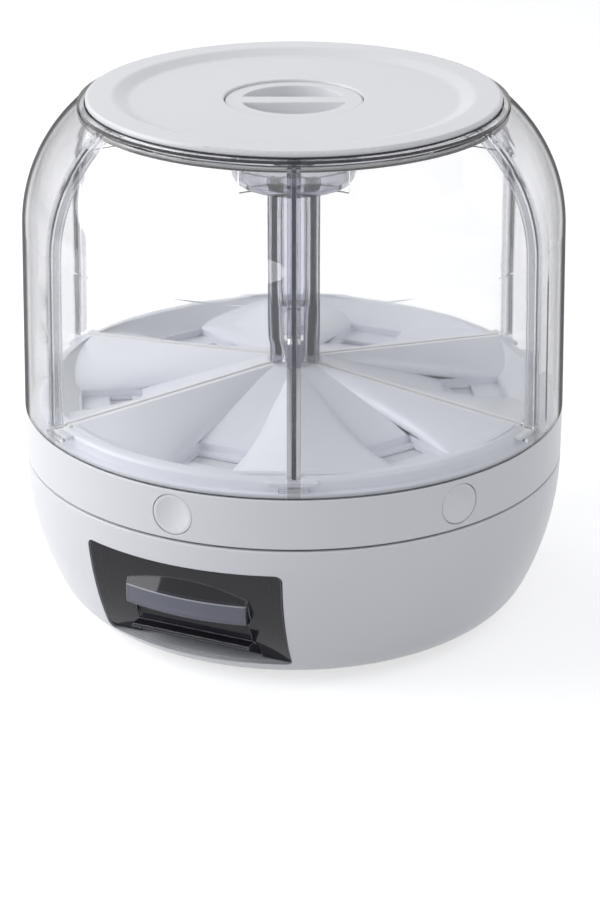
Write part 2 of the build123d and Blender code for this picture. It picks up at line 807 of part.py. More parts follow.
def dome_edge(shrink, low, last_radius):
    """Wall line and shoulder arc at a depth under the outer skin, with their end points."""
    across = math.cos(math.radians(wall_angle))
    up = math.sin(math.radians(wall_angle))
    size = shoulder_round - shrink
    tangent = (shoulder_centre[0] + size * across, shoulder_centre[1] + size * up)
    foot = (tangent[0] + (tangent[1] - low) * up / across, low)
    end_angle = math.degrees(math.acos((last_radius - shoulder_centre[0]) / size))
    end = (last_radius, shoulder_centre[1] + size * math.sin(math.radians(end_angle)))
    arc = CenterArc(shoulder_centre, size, wall_angle, end_angle - wall_angle)
    return Line(foot, tangent) + arc, foot, end


def dome_region(shrink, low, last_radius, top):
    edge, foot, end = dome_edge(shrink, low, last_radius)
    rest = Polyline(end, (last_radius, top), (0, top), (0, low), foot)
    return make_face(edge + rest)


# Bucket: clear dome with a recessed neck, twelve guide ribs and six lugs at its foot.
def make_bucket():
    outer = turned(dome_region(0, bucket_foot, neck_radius, neck_top))
    neck_outer = neck_recess_radius + neck_wall
    inner = turned(dome_region(bucket_wall, bucket_foot, neck_outer, neck_top))
    inner -= disc(neck_outer, neck_bottom, neck_top + 1)
    bucket = outer - inner
    rib = guide_rib()
    gap = divider_thickness / 2 + divider_play
    ribs = []
    for turn in divider_turns:
        ribs.append(at(turn, Pos(0, gap, 0) * rib))
        ribs.append(at(turn, Pos(0, -gap - guide_rib_thickness, 0) * rib))
    bucket += ribs
    bucket -= disc(mouth_radius, neck_bottom - 20, neck_top + 1)
    bucket -= disc(neck_recess_radius, ledge_top, neck_top + 1)
    reach = body_radius - bucket_wall
    lug = ring(reach + 1, reach - lug_reach, lug_low, lug_low + lug_height)
    bucket += at_all(divider_turns, lug & wedge(lug_width))
    return bucket


def guide_rib():
    """One rib along the inside of the dome, standing on the +Y side of its own plane."""
    neck_outer = neck_recess_radius + neck_wall
    outer_edge, outer_foot, outer_end = dome_edge(bucket_wall / 2, guide_rib_bottom, neck_outer)
    depth = bucket_wall + guide_rib_depth
    inner_edge, inner_foot, inner_end = dome_edge(depth, guide_rib_bottom, neck_outer - depth)
    top = Polyline(outer_end, (outer_end[0] - 2, outer_end[1]), (inner_end[0], neck_bottom + 0.5), inner_end)
    foot = Line(outer_foot, inner_foot)
    face = make_face(outer_edge + top + inner_edge + foot)
    return extrude(Plane.XZ * face, -guide_rib_thickness)


# Divider: flat clear plate from the column to the dome, standing in its rail's groove.
def make_divider():
    gap = fit_gap
    depth = bucket_wall + gap
    top_radius = shoulder_centre[0] + math.sqrt((shoulder_round - depth)**2 - (divider_top - shoulder_z)**2)
    edge, foot, end = dome_edge(depth, rail_outer_z + gap, top_radius)
    well = knob_radius + knob_gap + lid_wall + gap
    under_well = well_floor_bottom - gap
    beside_cup = cup_radius + gap
    under_cup = cup_floor_z - gap
    inner = column_radius + gap
    inner_z = rail_z(groove_start) + gap
    lift = gap - groove_depth
    near = groove_start + gap
    far = rail_outer_radius - gap
    rest = Polyline(end, (well, divider_top), (well, under_well), (beside_cup, under_well),
                    (beside_cup, under_cup), (inner, under_cup), (inner, inner_z), (near, inner_z),
                    (near, rail_z(near) + lift),
                    (far, rail_z(far) + lift), (far, foot[1]), foot)
    face = make_face(edge + rest)
    return extrude(Plane.XZ * face, divider_thickness / 2, both=True)


# Centre column: ribbed clear tube with a round cup on top that takes the lid's lock.
def make_column():
    foot = rail_inner_z + 0.1
    tube = ring(column_radius, hub_pin_radius + 0.1, foot, cup_floor_z + 1)
    plug_low = rail_inner_z + hub_pin_height + 0.3
    tube += disc(hub_pin_radius + 0.2, plug_low, plug_low + column_plug)
    gap = divider_thickness / 2 + divider_play
    ribs = []
    for turn in divider_turns:
        for side in (-1, 1):
            across = sorted((side * gap, side * (gap + column_rib_thickness)))
            rib = slab((column_radius - 0.6, column_rib_radius), across, (foot, cup_floor_z + 1))
            ribs.append(at(turn, rib))
    tube += ribs
    inner = cup_radius - cup_wall
    cup = turned(outline([(0, cup_floor_z), (cup_radius, cup_floor_z, cup_round), (cup_radius, cup_top, 0.6),
                          (inner, cup_top, 0.6), (inner, cup_floor_z + cup_wall, cup_round - cup_wall),
                          (0, cup_floor_z + cup_wall)]))
    tube += cup
    ramp = ring(inner + 0.5, inner - ramp_reach, lock_top + lock_gap, lock_top + lock_gap + ramp_height)
    ramp &= wedge(ramp_span)
    tube += at_all([knob_bar_angle + 90, knob_bar_angle - 90], ramp)
    tube -= disc(screw_radius + 0.05, plug_low, plug_low + column_plug)
    return tube


def make_column_screw():
    return screw((0, 0), rail_inner_z - hub_block, column_screw_length, screw_radius, screw_head_radius,
                 screw_head_height)


# Lid: dished white disc with the knob's well, a clear band under its edge and a soft seal.
def make_lid():
    well = knob_radius + knob_gap
    under = dish_z - lid_wall
    bore = boss_radius - lid_wall
    section = outline([(well, dish_z, 0.6), (lid_dish_radius - lid_dish_slope, dish_z, 6),
                       (lid_dish_radius + lid_dish_slope, lid_top, 6), (lid_radius, lid_top, 1.6),
                       (lid_radius, lid_top - lid_edge, 0.6),
                       (lid_dish_radius + lid_dish_slope, lid_top - lid_edge),
                       (lid_dish_radius - lid_dish_slope, under), (well + lid_wall, under),
                       (well + lid_wall, well_floor_bottom), (boss_radius, well_floor_bottom),
                       (boss_radius, boss_bottom), (bore, boss_bottom), (bore, well_floor_top),
                       (well, well_floor_top)])
    return turned(section)


def make_lid_band():
    top = lid_top - lid_edge
    low = ledge_top + lid_band_gap
    inner = lid_skirt_radius - lid_skirt_wall
    groove = (low + lid_skirt_bottom) / 2
    deep = lid_skirt_radius - 1
    return turned(outline([(inner, lid_skirt_bottom), (lid_skirt_radius, lid_skirt_bottom, 0.5),
                           (lid_skirt_radius, groove - seal_height / 2), (deep, groove - seal_height / 2),
                           (deep, groove + seal_height / 2), (lid_skirt_radius, groove + seal_height / 2),
                           (lid_skirt_radius, low), (lid_band_radius, low, 0.6), (lid_band_radius, top),
                           (inner, top)]))


def make_lid_seal():
    low = ledge_top + lid_band_gap
    groove = (low + lid_skirt_bottom) / 2
    inner = lid_skirt_radius - 1
    outer = mouth_radius - seal_gap
    half = seal_height / 2 - 0.05
    return turned(outline([(inner, groove - half), (lid_skirt_radius + 1, groove - half),
                           (outer, groove + 0.2, 0.3), (outer, groove + half, 0.3), (inner, groove + half)]))


# Knob: round plate with two finger hollows beside a straight bar, and a stem for the locking bar.
def make_knob():
    body = turned(outline([(0, knob_bottom), (knob_radius, knob_bottom, 0.8),
                           (knob_radius, knob_top, knob_edge), (0, knob_top)]))
    floor = knob_top - knob_recess_depth
    hollow = turned(outline([(0, floor), (knob_recess_radius - 1, floor, 3),
                             (knob_recess_radius, knob_top + 1), (0, knob_top + 1)]))
    half = knob_bar_width / 2
    bar_section = outline([(-half - 1.5, floor - 1), (-half, knob_top + 2), (half, knob_top + 2),
                           (half + 1.5, floor - 1)])
    bar = extrude(Plane.YZ * bar_section, knob_radius, both=True)
    body -= at(knob_bar_angle, hollow - bar)
    body += disc(stem_radius, lock_top, knob_bottom + 1)
    body -= disc(screw_radius + 0.05, lock_top, lock_top + knob_screw_length - lock_arm_height + 1)
    return body


def make_locking_bar():
    half = lock_arm_width / 2
    bar = slab((-lock_arm_radius, lock_arm_radius), (-half, half), (lock_top - lock_arm_height, lock_top))
    bar &= disc(lock_arm_radius, lock_top - lock_arm_height, lock_top)
    bar += disc(stem_radius + 1, lock_top - lock_arm_height, lock_top)
    bar -= disc(screw_radius + 0.1, lock_top - lock_arm_height, lock_top)
    return at(knob_bar_angle, bar)


def make_knob_screw():
    return screw((0, 0), lock_top - lock_arm_height, knob_screw_length, screw_radius, screw_head_radius,
                 screw_head_height)


# Drawer: smoky clear moulding with a flat front, a curved pull, a finger pocket and a grain cup.
def pull_region(shrink):
    slope = (pull_top_z - pull_edge_z) / (pull_front - pull_root)
    front = pull_front - shrink
    edge = pull_edge_z - shrink * 0.6
    root = pull_root - 17
    low = pull_low_z + shrink
    lip = max(pull_lip - shrink, 0)
    top = edge + slope * (front - root)
    return turned(outline([(root, low), (front, low, lip), (front, edge, max(1.2 - shrink, 0)), (root, top)]))


def pull_block(shrink):
    half = pull_half - shrink
    near = -pull_front - 2
    far = -pull_root + 17
    sides = outline([(-half, near), (half, near), (half + pull_draft, far), (-half - pull_draft, far)])
    return pull_region(shrink) & extrude(sides, drawer_top - shrink)


def make_drawer():
    front = behind_panel(0) & front_prism(0, -body_radius, -base_flat_radius + 20)
    panel = front - behind_panel(panel_thickness)
    cup = slab((-cup_half, cup_half), (-body_radius, cup_back), (cup_low, cup_rim)) & behind_panel(1)
    plate_low = pocket_floor_z - plate_thickness
    pocket_y = panel_y(pocket_floor_z, pocket_inset)
    notch_y = panel_y(drawer_bottom, notch_inset)
    wall = drawer_cup_wall
    plate = slab((-pocket_half - 1, pocket_half + 1), (pocket_y - plate_reach, pocket_y + wall),
                 (plate_low, pocket_floor_z))
    drawer = panel + cup + pull_block(0) + plate
    inside = slab((-cup_half + wall, cup_half - wall), (-body_radius, cup_back - wall),
                  (cup_low + wall, drawer_top))
    inside &= behind_panel(panel_thickness)
    inside -= slab((-pocket_half - wall, pocket_half + wall), (-body_radius, pocket_y + wall),
                   (plate_low, pull_low_z + wall))
    inside -= slab((-notch_half - notch_flare - wall, notch_half + notch_flare + wall),
                   (-body_radius, notch_y + wall), (0, pocket_floor_z))
    drawer -= inside
    hollow = pull_block(wall) & slab((-pull_half, pull_half), (-body_radius, pocket_y), (0, cup_rim))
    drawer -= hollow
    drawer -= slab((-pocket_half, pocket_half), (-body_radius, pocket_y), (pocket_floor_z, pull_low_z))
    notch = outline([(-notch_half, 0), (notch_half, 0), (notch_half + notch_flare, plate_low),
                     (-notch_half - notch_flare, plate_low)])
    drawer -= extrude(Plane.XZ.offset(-notch_y) * notch, body_radius)
    return drawer


def main():
    save(make_bowl(), "base_bowl")
    save(make_feet(), "feet")
    save(make_deck(), "base_deck")
    save(make_base_screws(), "base_screws")
    save(make_bay(), "drawer_bay")
    save(make_bay_screws(), "bay_screws")
    save(make_cage(), "bearing_cage")
    save(make_balls(), "bearing_balls")
    save(make_washer(), "spindle_washer")
    save(make_spindle_screw(), "spindle_screw")
    save(make_gate_floor(), "gate_floor")
    save(make_bush(), "hub_bush")
    save(make_rotor_screws(), "rotor_screws")
    save(make_collar(), "collar")
    save(make_gasket(), "bucket_gasket")
    save(make_tray(), "hopper_tray")
    shutter = make_shutter()
    button = make_button()
    spring = make_spring()
    for number, turn in enumerate(outlet_turns, 1):
        save(at(turn, shutter), "shutter_%d" % number)
        save(at(turn, button), "button_%d" % number)
        save(at(turn, spring), "button_spring_%d" % number)
    save(make_bucket(), "bucket")
    divider = make_divider()
    for number, turn in enumerate(divider_turns, 1):
        save(at(turn, divider), "divider_%d" % number)
    save(make_column(), "centre_column")
    save(make_column_screw(), "column_screw")
    save(make_lid(), "lid_panel")
    save(make_lid_band(), "lid_band")
    save(make_lid_seal(), "lid_seal")
    save(make_knob(), "knob")
    save(make_locking_bar(), "locking_bar")
    save(make_knob_screw(), "knob_screw")
    save(make_drawer(), "drawer")


main()
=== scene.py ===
import math

import bmesh
import bpy
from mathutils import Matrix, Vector


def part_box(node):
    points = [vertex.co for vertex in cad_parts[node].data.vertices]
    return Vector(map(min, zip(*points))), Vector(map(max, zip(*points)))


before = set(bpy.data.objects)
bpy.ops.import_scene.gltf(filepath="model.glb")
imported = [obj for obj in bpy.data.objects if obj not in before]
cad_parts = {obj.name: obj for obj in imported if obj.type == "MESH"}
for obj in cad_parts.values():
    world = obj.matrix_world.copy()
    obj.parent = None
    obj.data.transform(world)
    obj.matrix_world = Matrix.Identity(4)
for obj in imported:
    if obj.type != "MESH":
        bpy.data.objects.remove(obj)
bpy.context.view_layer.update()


# Base bowl
# One injection moulding in glossy white plastic, with the rim ledge and screw posts inside.
# It stands on four rubber feet and everything else is built up on it.

bowl_white = (0.80, 0.81, 0.85)
bowl_gloss = 0.30
skin_scale = 320.0
skin_height = 0.00002
skin_strength = 0.1
skin_samples = 6
flow_scale = 9.0
flow_shade = 0.975
gloss_scale = 26.0
gloss_spread = (-0.015, 0.02)
# Outer edges are painted this much lighter, as a highlight.
highlight_gain = 1.03
highlight_turn = (0.96, 0.80)
coat_weight = 0.12
coat_gloss = 0.15


def new_finish(name):
    """An empty material with its shader, ready for texture nodes."""
    finish = bpy.data.materials.new(name)
    finish.use_nodes = True
    nodes = finish.node_tree.nodes
    nodes.clear()
    output = nodes.new("ShaderNodeOutputMaterial")
    shader = nodes.new("ShaderNodeBsdfPrincipled")
    finish.node_tree.links.new(shader.outputs["BSDF"], output.inputs["Surface"])
    return finish, nodes, finish.node_tree.links, shader, output


def cloudy(nodes, links, scale, detail=2.0):
    """Noise in the object's own metres, so it stays with the piece."""
    place = nodes.new("ShaderNodeTexCoord")
    noise = nodes.new("ShaderNodeTexNoise")
    noise.inputs["Scale"].default_value = scale
    noise.inputs["Detail"].default_value = detail
    links.new(place.outputs["Object"], noise.inputs["Vector"])
    return noise.outputs["Fac"]


def spread(nodes, links, source, low, high):
    """Stretches a noise so that it runs smoothly between two values."""
    stretch = nodes.new("ShaderNodeMapRange")
    stretch.interpolation_type = "SMOOTHERSTEP"
    stretch.inputs["From Min"].default_value = 0.2
    stretch.inputs["From Max"].default_value = 0.8
    stretch.inputs["To Min"].default_value = low
    stretch.inputs["To Max"].default_value = high
    links.new(source, stretch.inputs["Value"])
    return stretch.outputs["Result"]


def between(nodes, links, source, first, second):
    """Colour that runs from first to second as the source goes from 0 to 1."""
    blend = nodes.new("ShaderNodeMix")
    blend.data_type = "RGBA"
    blend.inputs["A"].default_value = (*first, 1)
    blend.inputs["B"].default_value = (*second, 1)
    links.new(source, blend.inputs["Factor"])
    return blend.outputs["Result"]


def skin_texture(nodes, links, shader, scale, height, edge_radius):
    """Fine tooled texture over softened edges, as a moulded skin has."""
    soft_edge = nodes.new("ShaderNodeBevel")
    soft_edge.samples = skin_samples
    soft_edge.inputs["Radius"].default_value = edge_radius
    bump = nodes.new("ShaderNodeBump")
    bump.inputs["Strength"].default_value = skin_strength
    bump.inputs["Distance"].default_value = height
    links.new(cloudy(nodes, links, scale, 1.0), bump.inputs["Height"])
    links.new(soft_edge.outputs["Normal"], bump.inputs["Normal"])
    links.new(bump.outputs["Normal"], shader.inputs["Normal"])
    return soft_edge.outputs["Normal"]


def painted_edge_light(nodes, links, soft_normal, plain, lit_colour):
    """Colour a touch lighter along outer edges: a painted highlight where they catch the light."""
    shape = nodes.new("ShaderNodeNewGeometry")
    turn = nodes.new("ShaderNodeVectorMath")
    turn.operation = "DOT_PRODUCT"
    links.new(soft_normal, turn.inputs[0])
    links.new(shape.outputs["Normal"], turn.inputs[1])
    edge = nodes.new("ShaderNodeMapRange")
    edge.inputs["From Min"].default_value = highlight_turn[0]
    edge.inputs["From Max"].default_value = highlight_turn[1]
    links.new(turn.outputs["Value"], edge.inputs["Value"])
    blend = nodes.new("ShaderNodeMix")
    blend.data_type = "RGBA"
    blend.inputs["B"].default_value = (*lit_colour, 1)
    links.new(edge.outputs["Result"], blend.inputs["Factor"])
    links.new(plain, blend.inputs["A"])
    return blend.outputs["Result"]


def moulded_plastic(name, colour, gloss, edge_radius=0.0006):
    """Opaque moulded plastic: faint flow clouds, fine skin, uneven gloss and painted highlights on its
    edges.
    """
    finish, nodes, links, shader, _ = new_finish(name)
    darker = tuple(flow_shade * part for part in colour)
    lighter = tuple(min(1.0, highlight_gain * part) for part in colour)
    soft_normal = skin_texture(nodes, links, shader, skin_scale, skin_height, edge_radius)
    clouds = spread(nodes, links, cloudy(nodes, links, flow_scale, 1.0), 0.0, 1.0)
    body = between(nodes, links, clouds, darker, colour)
    links.new(painted_edge_light(nodes, links, soft_normal, body, lighter), shader.inputs["Base Color"])
    low, high = (gloss + change for change in gloss_spread)
    uneven = spread(nodes, links, cloudy(nodes, links, gloss_scale, 1.0), low, high)
    links.new(uneven, shader.inputs["Roughness"])
    shader.inputs["Specular IOR Level"].default_value = 0.5
    shader.inputs["Coat Weight"].default_value = coat_weight
    shader.inputs["Coat Roughness"].default_value = coat_gloss
    return finish


def finish_node(node, finish):
    """Gives a carried-over solid its finish in place of the plain one it was imported with."""
    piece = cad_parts[node]
    piece.data.materials.clear()
    piece.data.materials.append(finish)


white_plastic = moulded_plastic("white_plastic", bowl_white, bowl_gloss)
finish_node("base_bowl", white_plastic)


# Feet and base screws
# Four dark rubber buttons pressed into the bowl's underside, and four steel screws that
# draw the bowl up to the deck.

rubber_grey = (0.055, 0.056, 0.06)
rubber_dust = 0.03
dust_scale = 220.0
rubber_scale = 90.0
pore_scale = 1400.0
pore_height = 0.00008
rubber_edge = 0.0004
steel_grey = (0.62, 0.62, 0.63)
mark_scale = 2600.0
mark_height = 0.00002
mark_shade = 0.82
plating_scale = 600.0
steel_edge = 0.0003


def soft_rubber(name, colour, roughness):
    """Matt rubber with a pored skin and a little dust in it."""
    finish, nodes, links, shader, _ = new_finish(name)
    dusty = tuple(part + rubber_dust for part in colour)
    dust = spread(nodes, links, cloudy(nodes, links, dust_scale, 4.0), 0.0, 1.0)
    links.new(between(nodes, links, dust, colour, dusty), shader.inputs["Base Color"])
    uneven = spread(nodes, links, cloudy(nodes, links, rubber_scale), roughness - 0.08, roughness + 0.06)
    links.new(uneven, shader.inputs["Roughness"])
    skin_texture(nodes, links, shader, pore_scale, pore_height, rubber_edge)
    return finish


def turned_steel(name, colour, roughness):
    """Plated steel with fine tool marks and uneven gloss."""
    finish, nodes, links, shader, _ = new_finish(name)
    darker = tuple(mark_shade * part for part in colour)
    marks = cloudy(nodes, links, mark_scale, 1.0)
    links.new(between(nodes, links, marks, darker, colour), shader.inputs["Base Color"])
    uneven = spread(nodes, links, cloudy(nodes, links, plating_scale), roughness - 0.06, roughness + 0.1)
    links.new(uneven, shader.inputs["Roughness"])
    shader.inputs["Metallic"].default_value = 1.0
    skin_texture(nodes, links, shader, mark_scale, mark_height, steel_edge)
    return finish


foot_rubber = soft_rubber("foot_rubber", rubber_grey, 0.82)
plated_steel = turned_steel("plated_steel", steel_grey, 0.3)
finish_node("feet", foot_rubber)
finish_node("base_screws", plated_steel)


# Deck, drawer bay and thrust bearing
# White mouldings inside the base: the deck with its spindle and chute, the open-topped bay
# under it, and an acetal cage whose steel balls carry the turning part.

deck_shade = (0.76, 0.77, 0.80)
# The bay is a lighter white than the deck: painted light on its floor, which shows in the notch under the
# drawer's pull.
bay_painted_light = (0.88, 0.885, 0.90)
acetal_shade = (0.74, 0.74, 0.70)
inner_edge = 0.0004

inner_white = moulded_plastic("inner_white", deck_shade, 0.42, inner_edge)
bay_lit_white = moulded_plastic("bay_lit_white", bay_painted_light, bowl_gloss, inner_edge)
slippery_acetal = moulded_plastic("slippery_acetal", acetal_shade, 0.36, 0.0003)
finish_node("base_deck", inner_white)
finish_node("drawer_bay", bay_lit_white)
finish_node("bearing_cage", slippery_acetal)
finish_node("hub_bush", slippery_acetal)
for node in ("bay_screws", "bearing_balls", "spindle_washer", "spindle_screw"):
    finish_node(node, plated_steel)


# Gate floor, shutters and springs
# The turning floor with its six spouts, the pale grey slides that shut them and the steel
# coils that push each button out again.

shutter_shade = (0.76, 0.77, 0.81)

shutter_plastic = moulded_plastic("shutter_white", shutter_shade, 0.38, inner_edge)
finish_node("gate_floor", inner_white)
finish_node("rotor_screws", plated_steel)
for number in range(1, 7):
    finish_node("shutter_%d" % number, shutter_plastic)
    finish_node("button_spring_%d" % number, plated_steel)


# Collar and push buttons
# The white ring that turns with the bucket on the base, and six dished buttons a thumb wide
# that slide in it.

collar_shade = (0.81, 0.82, 0.86)
button_shade = (0.83, 0.84, 0.88)
button_gloss = 0.26

collar_white = moulded_plastic("collar_white", collar_shade, bowl_gloss)
button_white = moulded_plastic("button_white", button_shade, button_gloss, inner_edge)
finish_node("collar", collar_white)
for number in range(1, 7):
    finish_node("button_%d" % number, button_white)


# Hopper tray
# White moulding with six funnels between grooved rails. Light comes to it through the
# dome only, so it looks cooler than the collar, and that cooler tone is painted into its colour. The
# rails' tops carry painted light.

# A cooler tone than the collar's: painted shade for light that comes only through the dome.
tray_shade = (0.83, 0.85, 0.91)
# Painted light on the rails' tops, where they face the lamps.
rail_painted_light = (0.95, 0.955, 0.97)
rail_half = 0.0042
rail_fade = 0.92
tray_edge = 0.0014
first_divider = -65.2
divider_lines = [first_divider + 60 * count for count in range(3)]


def near_dividers(nodes, links, half_width):
    """1 within half_width of the three upright planes that the six dividers stand in."""
    place = nodes.new("ShaderNodeTexCoord")
    nearest = None
    for turn in divider_lines:
        across = nodes.new("ShaderNodeVectorMath")
        across.operation = "DOT_PRODUCT"
        across.inputs[1].default_value = (math.sin(math.radians(turn)), -math.cos(math.radians(turn)), 0)
        links.new(place.outputs["Object"], across.inputs[0])
        distance = nodes.new("ShaderNodeMath")
        distance.operation = "ABSOLUTE"
        links.new(across.outputs["Value"], distance.inputs[0])
        if nearest is None:
            nearest = distance.outputs["Value"]
            continue
        least = nodes.new("ShaderNodeMath")
        least.operation = "MINIMUM"
        links.new(nearest, least.inputs[0])
        links.new(distance.outputs["Value"], least.inputs[1])
        nearest = least.outputs["Value"]
    band = nodes.new("ShaderNodeMapRange")
    band.inputs["From Min"].default_value = half_width
    band.inputs["From Max"].default_value = half_width * rail_fade
    links.new(nearest, band.inputs["Value"])
    return band.outputs["Result"]


def paint_light_on_rails(finish):
    """Lightens a moulding along the lines where the dividers stand: painted light on the rails' tops."""
    nodes = finish.node_tree.nodes
    links = finish.node_tree.links
    shader = nodes["Principled BSDF"]
    plain = shader.inputs["Base Color"].links[0].from_socket
    blend = nodes.new("ShaderNodeMix")
    blend.data_type = "RGBA"
    blend.inputs["B"].default_value = (*rail_painted_light, 1)
    links.new(near_dividers(nodes, links, rail_half), blend.inputs["Factor"])
    links.new(plain, blend.inputs["A"])
    links.new(blend.outputs["Result"], shader.inputs["Base Color"])


tray_white = moulded_plastic("tray_white", tray_shade, bowl_gloss, tray_edge)
paint_light_on_rails(tray_white)
finish_node("hopper_tray", tray_white)


# Bucket, dividers and centre column
# Clear mouldings: a domed bucket whose ribs guide six flat plates, and the ribbed tube
# that holds them at the middle. Their edges are painted grey, as the shade where light leaves them
# sideways.

clear_tint = (0.998, 0.998, 1.0)
rib_painted_shade = (0.66, 0.665, 0.70)
rib_half = 0.0036
plate_edge_painted_shade = (0.30, 0.30, 0.35)
clear_bend = 1.46
clear_edge = 0.0003
clear_samples = 4
clear_flow_scale = 12.0
clear_flow_shade = 0.985
clear_gloss_scale = 40.0
ripple_scale = 30.0
ripple_strength = 0.3
dimmed_lamps = 0.965
# Colour of the painted dark line where clear walls are seen on end.
edge_line = (0.045, 0.045, 0.055)
line_turn = (0.80, 0.87)
line_share = 0.85
side_on_cool = 1.03
plate_edge_turn = (0.5, 0.6)
column_tint = (0.86, 0.865, 0.90)
gap_painted_shadow = (0.05, 0.05, 0.055)
# Steps of painted shade, as each clear piece turns side on.
shell_steps = ((0.0, 1.0), (0.36, 1.0), (0.56, 0.76), (0.72, 0.56), (0.84, 0.30), (1.0, 0.10))
plate_steps = ((0.0, 1.0), (0.55, 1.0), (0.90, 0.62), (1.0, 0.40))
column_steps = ((0.0, 1.0), (0.25, 0.92), (0.6, 0.55), (0.85, 0.25), (1.0, 0.12))


def darker_side_on(nodes, links, steps):
    """Painted shade: share of the tint that is left as the surface turns side on, from steps of (turn,
    share).
    """
    facing = nodes.new("ShaderNodeLayerWeight")
    facing.inputs["Blend"].default_value = 0.5
    ramp = nodes.new("ShaderNodeValToRGB")
    stops = ramp.color_ramp.elements
    while len(stops) < len(steps):
        stops.new(0.5)
    for stop, (turn, share) in zip(stops, steps):
        stop.position = turn
        stop.color = (share, share, min(1.0, share * side_on_cool), 1)
    links.new(facing.outputs["Facing"], ramp.inputs["Fac"])
    return ramp.outputs["Color"]


def times(nodes, links, first, second):
    """Product of two colours."""
    product = nodes.new("ShaderNodeMix")
    product.data_type = "RGBA"
    product.blend_type = "MULTIPLY"
    product.inputs["Factor"].default_value = 1.0
    links.new(first, product.inputs["A"])
    links.new(second, product.inputs["B"])
    return product.outputs["Result"]


def clear_skin(nodes, links, shader, ripple, edge_radius):
    """Slow ripple of a clear moulding over softened edges."""
    soft_edge = nodes.new("ShaderNodeBevel")
    soft_edge.samples = clear_samples
    soft_edge.inputs["Radius"].default_value = edge_radius
    bump = nodes.new("ShaderNodeBump")
    bump.inputs["Strength"].default_value = ripple_strength
    bump.inputs["Distance"].default_value = ripple
    links.new(cloudy(nodes, links, ripple_scale, 1.0), bump.inputs["Height"])
    links.new(soft_edge.outputs["Normal"], bump.inputs["Normal"])
    links.new(bump.outputs["Normal"], shader.inputs["Normal"])
    return soft_edge.outputs["Normal"]


def dark_line_side_on(nodes, links, shader, turn):
    """Painted dark line where a clear wall is seen on end, as the shade there because no light leaves it
    that way.
    """
    facing = nodes.new("ShaderNodeLayerWeight")
    facing.inputs["Blend"].default_value = 0.5
    share = nodes.new("ShaderNodeMapRange")
    share.interpolation_type = "SMOOTHSTEP"
    share.inputs["From Min"].default_value = turn[0]
    share.inputs["From Max"].default_value = turn[1]
    share.inputs["To Max"].default_value = line_share
    links.new(facing.outputs["Facing"], share.inputs["Value"])
    line = nodes.new("ShaderNodeBsdfDiffuse")
    line.inputs["Color"].default_value = (*edge_line, 1)
    mixed = nodes.new("ShaderNodeMixShader")
    links.new(share.outputs["Result"], mixed.inputs["Fac"])
    links.new(shader.outputs["BSDF"], mixed.inputs[1])
    links.new(line.outputs["BSDF"], mixed.inputs[2])
    return mixed.outputs["Shader"]


def open_to_lamps(nodes, links, surface, output, tint):
    """Lets lamp and room light straight through a clear piece, tinted."""
    ray = nodes.new("ShaderNodeLightPath")
    either = nodes.new("ShaderNodeMath")
    either.operation = "MAXIMUM"
    links.new(ray.outputs["Is Shadow Ray"], either.inputs[0])
    links.new(ray.outputs["Is Diffuse Ray"], either.inputs[1])
    window = nodes.new("ShaderNodeBsdfTransparent")
    window.inputs["Color"].default_value = (*tint, 1)
    choose = nodes.new("ShaderNodeMixShader")
    links.new(either.outputs["Value"], choose.inputs["Fac"])
    links.new(surface, choose.inputs[1])
    links.new(window.outputs["BSDF"], choose.inputs[2])
    links.new(choose.outputs["Shader"], output.inputs["Surface"])


def clear_plastic(name, tint, steps, roughness, ripple, edge_radius, haze=0.0, line=None):
    """See-through moulding: rippled skin, painted darker where it is seen on edge, and open to lamps."""
    finish, nodes, links, shader, output = new_finish(name)
    shader.inputs["Transmission Weight"].default_value = 1.0 - haze
    shader.inputs["IOR"].default_value = clear_bend
    flow = spread(nodes, links, cloudy(nodes, links, clear_flow_scale, 1.0), 0.0, 1.0)
    body = between(nodes, links, flow, tint, tuple(clear_flow_shade * part for part in tint))
    links.new(times(nodes, links, body, darker_side_on(nodes, links, steps)), shader.inputs["Base Color"])
    gloss_clouds = cloudy(nodes, links, clear_gloss_scale)
    uneven = spread(nodes, links, gloss_clouds, roughness * 0.5, roughness * 1.5)
    links.new(uneven, shader.inputs["Roughness"])
    clear_skin(nodes, links, shader, ripple, edge_radius)
    surface = dark_line_side_on(nodes, links, shader, line) if line else shader.outputs["BSDF"]
    open_to_lamps(nodes, links, surface, output, tuple(dimmed_lamps * part for part in tint))
    return finish


def plate_edges(nodes, links):
    """1 on the narrow edges of the dividers, whose wide faces lie along the radius."""
    place = nodes.new("ShaderNodeTexCoord")
    shape = nodes.new("ShaderNodeNewGeometry")
    outward = nodes.new("ShaderNodeVectorMath")
    outward.operation = "MULTIPLY"
    outward.inputs[1].default_value = (1, 1, 0)
    links.new(place.outputs["Object"], outward.inputs[0])
    unit = nodes.new("ShaderNodeVectorMath")
    unit.operation = "NORMALIZE"
    links.new(outward.outputs["Vector"], unit.inputs[0])
    along = nodes.new("ShaderNodeVectorMath")
    along.operation = "DOT_PRODUCT"
    links.new(unit.outputs["Vector"], along.inputs[0])
    links.new(shape.outputs["Normal"], along.inputs[1])
    upright = nodes.new("ShaderNodeSeparateXYZ")
    links.new(shape.outputs["Normal"], upright.inputs["Vector"])
    leanings = []
    for source in (along.outputs["Value"], upright.outputs["Z"]):
        size = nodes.new("ShaderNodeMath")
        size.operation = "ABSOLUTE"
        links.new(source, size.inputs[0])
        leanings.append(size.outputs["Value"])
    most = nodes.new("ShaderNodeMath")
    most.operation = "MAXIMUM"
    links.new(leanings[0], most.inputs[0])
    links.new(leanings[1], most.inputs[1])
    edge = nodes.new("ShaderNodeMapRange")
    edge.inputs["From Min"].default_value = plate_edge_turn[0]
    edge.inputs["From Max"].default_value = plate_edge_turn[1]
    links.new(most.outputs["Value"], edge.inputs["Value"])
    return edge.outputs["Result"]


